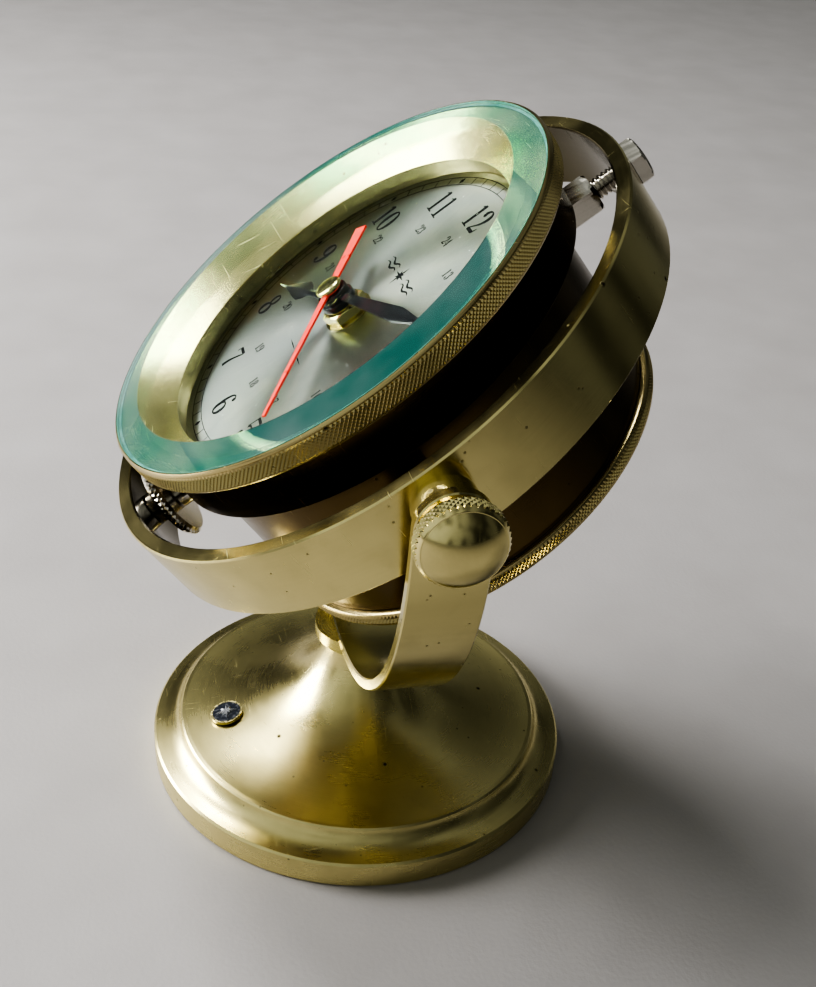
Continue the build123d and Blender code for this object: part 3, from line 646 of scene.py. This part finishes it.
# the case body's near-black colour is painted shade, standing in for the dark reflections of the ring's
# interior
case_brass_shaded = brass("brass_case_painted_shade", place=dial, colour=(0.13, 0.09, 0.036),
                   tarnish=(0.06, 0.04, 0.02), roughness=0.2, pits=0.1)
nickel = plain_metal("nickel_plate", (0.70, 0.66, 0.58), 0.17, place=upper)
steel = plain_metal("steel_plain", (0.55, 0.54, 0.52), 0.28)
black = coating("hand_black_enamel", (0.010, 0.010, 0.012), 0.16, depth=0.002, coat=0.8)
red = coating("hand_red_enamel", (0.78, 0.045, 0.03), 0.3, other=(0.70, 0.035, 0.025), depth=0.002,
              coat=0.4)
ink = coating("dial_ink", (0.008, 0.008, 0.009), 0.8, depth=0.001, gloss=0.05)
rubber = coating("rubber_black", (0.02, 0.02, 0.02), 0.65)
felt = coating("felt_green", (0.02, 0.075, 0.04), 0.95, other=(0.03, 0.11, 0.06), depth=0.25, scale=900)
iron = coating("iron_black", (0.05, 0.045, 0.042), 0.6, depth=0.12)
movement_plastic = coating("plastic_black", (0.025, 0.025, 0.027), 0.42, depth=0.02)
gear_plastic = coating("plastic_ivory", (0.72, 0.68, 0.56), 0.4, depth=0.01)
board_green = coating("board_green", (0.02, 0.14, 0.05), 0.45, depth=0.01)
copper = plain_metal("copper_wire", (0.75, 0.36, 0.2), 0.3)
battery_wrap = coating("battery_wrap", (0.55, 0.36, 0.10), 0.35, other=(0.05, 0.05, 0.05), depth=0.005,
                       scale=20)
silver_star = plain_metal("badge_silver", (0.70, 0.71, 0.73), 0.22, smear=0.6)
clear_gasket = coating("gasket_clear", (0.36, 0.50, 0.45), 0.35, depth=0.002)
badge_enamel = badge_face()
sunburst_silver = sunburst()
glass = thick_glass()

# ---- better materials on the CAD pieces that stay ----
KEPT = {
    "base_shell": satin, "base_weight": iron, "weight_washer": steel, "weight_screw": steel,
    "base_felt": felt, "neck_collar": satin, "yoke": polished_stand, "yoke_screw": nickel,
    "badge_disc": badge_enamel,
    "badge_star": silver_star, "knob_washers": polished_stand, "clamp_stud_right": steel,
    "clamp_stud_left": steel, "gimbal_ring": gimbal_brass, "pivot_spacer_right": polished_ring,
    "pivot_spacer_left": polished_ring, "lower_pivot_stud": nickel, "case_body": case_brass_shaded,
    "lower_pivot_boss": nickel, "dial_washer": rubber, "centre_washer": polished_ring,
    "movement_front_plate": polished_ring, "movement_back_case": movement_plastic,
    "train_bridge": gear_plastic, "stator": steel, "coil": copper, "circuit_board": board_green,
    "quartz_crystal": nickel, "battery": battery_wrap, "battery_contacts": nickel, "glass": glass,
    "glass_gasket": clear_gasket, "back_plate": satin, "back_gasket": rubber, "seconds_wheel": gear_plastic,
    "second_hand": red, "third_wheel": gear_plastic, "centre_wheel": gear_plastic, "minute_hand": black,
    "minute_wheel": gear_plastic, "hour_wheel": gear_plastic, "intermediate_wheel": gear_plastic,
    "rotor": steel, "setting_shaft": steel, "setting_knob": movement_plastic,
}
for name, material in KEPT.items():
    mesh = frame["nodes"][name].data
    mesh.materials.clear()
    mesh.materials.append(material)
frame["nodes"]["glass"].visible_shadow = False


def finish_piece(piece, body, slot, *nodes):
    """Ride a piece on its body, and let it stand for CAD nodes by hiding them."""
    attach(piece, body)
    if nodes:
        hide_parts(*nodes)


# ---- front bezel and rear bezel: smooth lip, diamond-knurled band ----
front_bezel = knurled_piece(
    "front_bezel_knurled",
    [(53.62, 15.95), (54.3, 15.95)],
    (54.88, 16.25, 20.55),
    [(54.72, 20.66), (54.8, 20.8), (54.76, 20.98), (54.4, 21.36), (54.28, 21.46), (54.1, 21.46),
     (54.06, 21.4), (54.06, 18.25), (53.62, 18.2)],
    bezel_brass, dial, teeth=352, depth=0.38,
)
finish_piece(front_bezel, "bezel", "knurled_brass", "front_bezel")

rear_bezel = knurled_piece(
    "rear_bezel_knurled",
    [(45.0, -35.2), (45.0, -35.7), (45.15, -35.88), (47.3, -35.88), (47.7, -35.7)],
    (48.08, -35.4, -32.7),
    [(47.7, -32.4), (47.4, -32.22), (46.5, -32.22), (46.45, -32.4), (46.45, -34.0), (47.0, -34.0),
     (47.0, -35.2)],
    bezel_brass, dial, teeth=308, depth=0.34,
)
finish_piece(rear_bezel, "back_cover", "knurled_brass", "rear_bezel")

# ---- domed clamp knobs ----
knob_low, knob_high, knob_rim, dome_rise = 74.25, 79.1, 7.5, 3.15
dome_radius = (knob_rim**2 + dome_rise**2) / (2 * dome_rise)
dome_outline = []
for step in range(13):
    angle = math.asin(knob_rim / dome_radius) * (1 - step / 12)
    drop = dome_radius * (1 - math.cos(angle))
    dome_outline.append((dome_radius * math.sin(angle), knob_high + dome_rise - drop))
for side_name, side in (("right", right), ("left", left)):
    knob = knurled_piece(
        f"clamp_knob_{side_name}_knurled",
        [(0, knob_low), (7.2, knob_low), (7.55, knob_low + 0.1)],
        (8.48, knob_low + 0.75, knob_high - 0.75),
        [(7.85, knob_high - 0.25), (7.66, knob_high - 0.02)] + dome_outline,
        knob_brass, side, teeth=44, depth=0.42,
    )
    finish_piece(knob, f"{side_name}_knob", "knurled_brass", f"clamp_knob_{side_name}")

# ---- thumb nut ----
nut = knurled_piece(
    "thumb_nut_knurled",
    [(2.45, 55.35), (9.3, 55.35)],
    (9.98, 55.75, 57.4),
    [(9.3, 57.78), (4.4, 57.8), (4.0, 58.1), (3.8, 58.6), (3.8, 61.1), (3.6, 61.18), (2.45, 61.18)],
    nickel, lower, teeth=50, depth=0.4,
)
finish_piece(nut, "lock_nut", "nickel", "thumb_nut")

# ---- upper pivot: hexagon bolt with a visible thread, and the six-sided boss it turns in ----
bolt_head = six_sided("upper_bolt_head", 9.5, 65.05, 68.1, 0, nickel, upper, crown=0.45)
finish_piece(bolt_head, "ring", "nickel", "upper_pivot_screw")
bolt_thread = threaded_bar("upper_bolt_thread", 2.4, 0.42, THREAD_PITCH, 55.9, 65.2, nickel, upper)
finish_piece(bolt_thread, "ring", "nickel")
boss = six_sided("upper_boss_hexagon", 8.4, 45.9, 56.1, 2.45, nickel, upper)
finish_piece(boss, "drum", "nickel", "upper_pivot_boss")

# ---- dial with its printing ----
dial_disc = turned_piece(
    "dial_sunburst_plate",
    rounded([(3.45, DIAL_BACK), (49.2, DIAL_BACK), (49.2, DIAL_FACE), (3.45, DIAL_FACE)], 0.06, 2),
    sunburst_silver, dial, around=256,
)
finish_piece(dial_disc, "drum", "dial_silver", "dial_plate")

print_strips, print_loops = [], []
for hour in range(1, 13):
    print_strips += number_strips(str(hour), clock_point(30 * hour, NUMERAL_RADIUS), NUMERAL_HEIGHT)
    print_strips += number_strips(str(hour + 12), clock_point(30 * hour, SMALL_RADIUS), SMALL_HEIGHT)
    x, y = clock_point(30 * hour, (TRACK_INNER + TRACK_OUTER) / 2)
    print_loops.append([(x + 0.62, y), (x, y + 0.95), (x - 0.62, y), (x, y - 0.95)][::-1])
print_strips += [circle_strip(TRACK_INNER, 0.16), circle_strip(TRACK_OUTER, 0.16)]
for minute in range(60):
    if minute % 5:
        print_strips.append(bar_strip(6 * minute, TRACK_INNER, TRACK_OUTER, 0.16))
print_marks = flat_shapes("dial_print", print_loops, print_strips, DIAL_FACE, PRINT, ink, dial)
finish_piece(print_marks, "drum", "hand_black")


# ---- generic ornaments: a compass star between waves above the centre, a small one below it ----
STAR_HEIGHT, SMALL_STAR_HEIGHT = 13.2, -14.3


def star_loop(height, long_ray, short_ray, waist):
    """An eight-pointed star on the dial's 12-6 line."""
    points = []
    for corner in range(16):
        angle = math.pi * corner / 8
        radius = (long_ray, waist, short_ray, waist)[corner % 4]
        points.append((radius * math.cos(angle), height + radius * math.sin(angle)))
    return points


def wave_stroke(side, row):
    """One wavy line that runs outward from the star and thins towards its ends."""
    wave = []
    for step in range(25):
        t = step / 24
        rise = 0.5 * math.sin(2 * math.pi * 1.5 * t) * (1 - 0.4 * t)
        wave.append((side * (3.4 + 6.2 * t), row + rise, 0.12 + 0.42 * math.sin(math.pi * t)))
    return wave


ornament_strips = []
for side in (-1, 1):
    for row in (-0.7, 0.7):
        ornament_strips.append(ribbon(wave_stroke(side, row), (0, STAR_HEIGHT), 1.0))
    dash = [(side * 1.5, 0, 0.08), (side * 3.8, 0, 0.3), (side * 6.2, 0, 0.06)]
    ornament_strips.append(ribbon(dash, (0, SMALL_STAR_HEIGHT), 1.0))
stars = [star_loop(STAR_HEIGHT, 2.7, 1.5, 0.75), star_loop(SMALL_STAR_HEIGHT, 0.9, 0.5, 0.3)]
ornament = flat_shapes("dial_ornament", stars, ornament_strips, DIAL_FACE, PRINT, ink, dial)
finish_piece(ornament, "drum", "hand_black")

# ---- rehaut: the conical brass ring between glass and dial ----
rehaut = turned_piece(
    "rehaut_cone",
    rounded([(52.7, 18.1), (52.3, 18.1), (42.5, 12.33), (42.5, 11.6), (43.6, 11.55),
             (43.6, DIAL_FACE + 0.02), (45.2, DIAL_FACE + 0.02), (45.2, 12.6), (49.45, 15.2),
             (49.45, 15.75), (52.7, 17.75)], 0.12, 3),
    rehaut_brass, dial, around=256,
)
finish_piece(rehaut, "drum", "polished_brass", "rehaut_ring")

# ---- centre nut, hubs, hour hand, cap ----
centre_nut = six_sided("centre_nut_hexagon", 9.0, 8.2, 10.6, 3.42, polished_ring, dial, chamfer_low=True)
finish_piece(centre_nut, "drum", "satin_brass", "centre_nut")


def in_dial_plane(arm):
    """An arm from the pivot with its part along the dial's axis taken away."""
    return arm - dial_normal * arm.dot(dial_normal)


def hand_direction(node):
    """Which way a hand points at rest: towards its vertex that is farthest from the arbor."""
    arms = [in_dial_plane(vertex.co - pivot) for vertex in frame["nodes"][node].data.vertices]
    return max(arms, key=lambda arm: arm.length).normalized()


# ---- hour hand: half widths along its length, with a ridge down the middle; y points along the hand ----
along_hour = hand_direction("hour_hand")
hour_frame = axes(pivot, dial_normal, along_hour.cross(dial_normal))
HOUR_LOW, HOUR_EDGE, HOUR_RIDGE = 11.5, 11.75, 12.02
HOUR_HALF = [(3.6, 1.25), (8.0, 0.95), (12.2, 0.8), (13.4, 1.1), (14.6, 2.2), (16.2, 2.75), (18.2, 2.35),
             (21.0, 1.35), (24.0, 0.6), (27.4, 0.03)]
hour_vertices, hour_faces = [], []
for along, half in HOUR_HALF:
    ridge = HOUR_RIDGE + 0.28 * min(1.0, half / 2.0)
    hour_vertices += [(-half, along, HOUR_LOW), (half, along, HOUR_LOW), (half, along, HOUR_EDGE),
                      (0, along, ridge), (-half, along, HOUR_EDGE)]
for index in range(len(HOUR_HALF) - 1):
    a, b = 5 * index, 5 * (index + 1)
    for k in range(5):
        m = (k + 1) % 5
        hour_faces.append((b + k, b + m, a + m, a + k))
hour_faces.append(tuple(range(5)))
hour_faces.append(tuple(5 * (len(HOUR_HALF) - 1) + k for k in reversed(range(5))))
hour_leaf = make_object("hour_hand_leaf", hour_vertices, hour_faces, black, hour_frame, 20.0)
finish_piece(hour_leaf, "hours", "hand_black", "hour_hand")


def hand_hub(name, bore, rim, low, high):
    """The round boss that a hand is pressed on."""
    outline = rounded([(bore, low), (rim, low), (rim, high), (bore, high)], 0.25, 4)
    return turned_piece(name, outline, black, dial, around=96)


hour_hub = hand_hub("hour_hand_hub", 1.62, 3.95, 10.95, 12.5)
finish_piece(hour_hub, "hours", "hand_black")
minute_hub = hand_hub("minute_hand_hub", 0.78, 3.45, 12.62, 14.2)
finish_piece(minute_hub, "minutes", "hand_black")
cap_outline = [(0, 15.02), (2.95, 15.02), (3.0, 15.15), (3.0, 15.4)]
for step in range(9):
    angle = math.pi / 2 * step / 8
    cap_outline.append((2.98 * math.cos(angle), 15.4 + 0.78 * math.sin(angle)))
cap_outline[-1] = (0, 16.18)
cap = turned_piece("hand_cap_domed", cap_outline, knob_brass, dial, around=96)
finish_piece(cap, "seconds", "polished_brass", "hand_cap")

# ---- setting: pale floor, a window and a skylight on the left, a dim room, camera ----
FLOOR_COLOUR, FLOOR_PATCH = (0.39, 0.37, 0.36), (0.355, 0.335, 0.325)
FLOOR_HALF, FLOOR_HEIGHT = 4000, -0.05
floor_look = Look("floor_pale", FLOOR_COLOUR, 0.6)
patches = floor_look.levels(floor_look.noise(30, 6.0), 0.3, 0.7)
floor_look.set("Base Color", floor_look.mix(patches, FLOOR_COLOUR, FLOOR_PATCH))
floor_look.bump(floor_look.noise(900, 4.0), 0.05 * MM)
corners = [(-1, -1), (1, -1), (1, 1), (-1, 1)]
floor_points = [(x * FLOOR_HALF, y * FLOOR_HALF, FLOOR_HEIGHT) for x, y in corners]
floor = make_object("floor", floor_points, [(0, 1, 2, 3)], floor_look.material, upright)

LAMP_DISTANCE = 1.1


def softbox(name, direction, width, height, power):
    """A rectangular lamp that faces the clock from a direction."""
    lamp = bpy.data.lights.new(name, "AREA")
    lamp.shape = "RECTANGLE"
    lamp.size, lamp.size_y = width, height
    lamp.energy = power
    holder = bpy.data.objects.new(name, lamp)
    bpy.context.scene.collection.objects.link(holder)
    toward = Vector(direction).normalized()
    holder.location = pivot + toward * LAMP_DISTANCE
    holder.rotation_euler = toward.to_track_quat("Z", "Y").to_euler()


softbox("window", (-0.39, -0.86, 0.34), 0.46, 0.9, 23)
softbox("skylight", (-0.55, -0.30, 0.95), 0.32, 0.32, 7.5)


def room_light():
    """A dim room: lighter towards the window, with uneven walls and a dark curtain facing the glass."""
    world = bpy.data.worlds.new("studio")
    world.use_nodes = True
    nodes, links = world.node_tree.nodes, world.node_tree.links
    direction = nodes.new("ShaderNodeTexCoord").outputs["Generated"]

    def ranged(value, limits, smooth=False):
        """Stretch a value between limits given as from low, from high, to low, to high."""
        node = nodes.new("ShaderNodeMapRange")
        node.interpolation_type = "SMOOTHSTEP" if smooth else "LINEAR"
        for socket, number in zip(node.inputs[1:5], limits):
            socket.default_value = number
        links.new(value, node.inputs[0])
        return node.outputs[0]

    def facing(toward):
        """How nearly a direction points towards another: 1 straight at it, -1 away from it."""
        node = nodes.new("ShaderNodeVectorMath")
        node.operation = "DOT_PRODUCT"
        node.inputs[1].default_value = toward
        links.new(direction, node.inputs[0])
        return node.outputs["Value"]

    def product(a, b):
        node = nodes.new("ShaderNodeMath")
        node.operation = "MULTIPLY"
        links.new(a, node.inputs[0])
        links.new(b, node.inputs[1])
        return node.outputs[0]

    tall = nodes.new("ShaderNodeMapping")
    tall.inputs["Scale"].default_value = (1.0, 1.0, 0.35)
    links.new(direction, tall.inputs["Vector"])
    walls = nodes.new("ShaderNodeTexNoise")
    walls.inputs["Scale"].default_value = 3.2
    walls.inputs["Detail"].default_value = 1.0
    links.new(tall.outputs["Vector"], walls.inputs["Vector"])

    gradient = ranged(facing((-0.10, -0.90, 0.42)), (-0.5, 1.0, 0.07, 0.42), smooth=True)
    panels = ranged(walls.outputs["Fac"], (0.42, 0.58, 0.4, 1.45))
    curtain = ranged(facing((-0.88, -0.36, 0.29)), (0.78, 0.93, 1.0, 0.12), smooth=True)
    background = nodes["Background"]
    background.inputs["Color"].default_value = (0.95, 1.0, 0.96, 1)
    links.new(product(product(gradient, panels), curtain), background.inputs["Strength"])
    return world


scene = bpy.context.scene
scene.world = room_light()
scene.view_settings.view_transform = "AgX"
scene.view_settings.look = "AgX - High Contrast"

camera_data = bpy.data.cameras.new("camera")
camera_data.sensor_fit = "HORIZONTAL"
camera_data.sensor_width = 36
camera_data.lens = 58.19
camera_data.clip_start = 0.01
camera = bpy.data.objects.new("camera", camera_data)
scene.collection.objects.link(camera)
camera_place = Vector((254.06, -53.69, 230.56)) * MM
camera_right = Vector((0.2034, 0.9772, 0.0614))
camera_back = Vector((0.8307, -0.2054, 0.5175))
camera.matrix_world = axes(camera_place, camera_back, camera_right)
scene.camera = camera
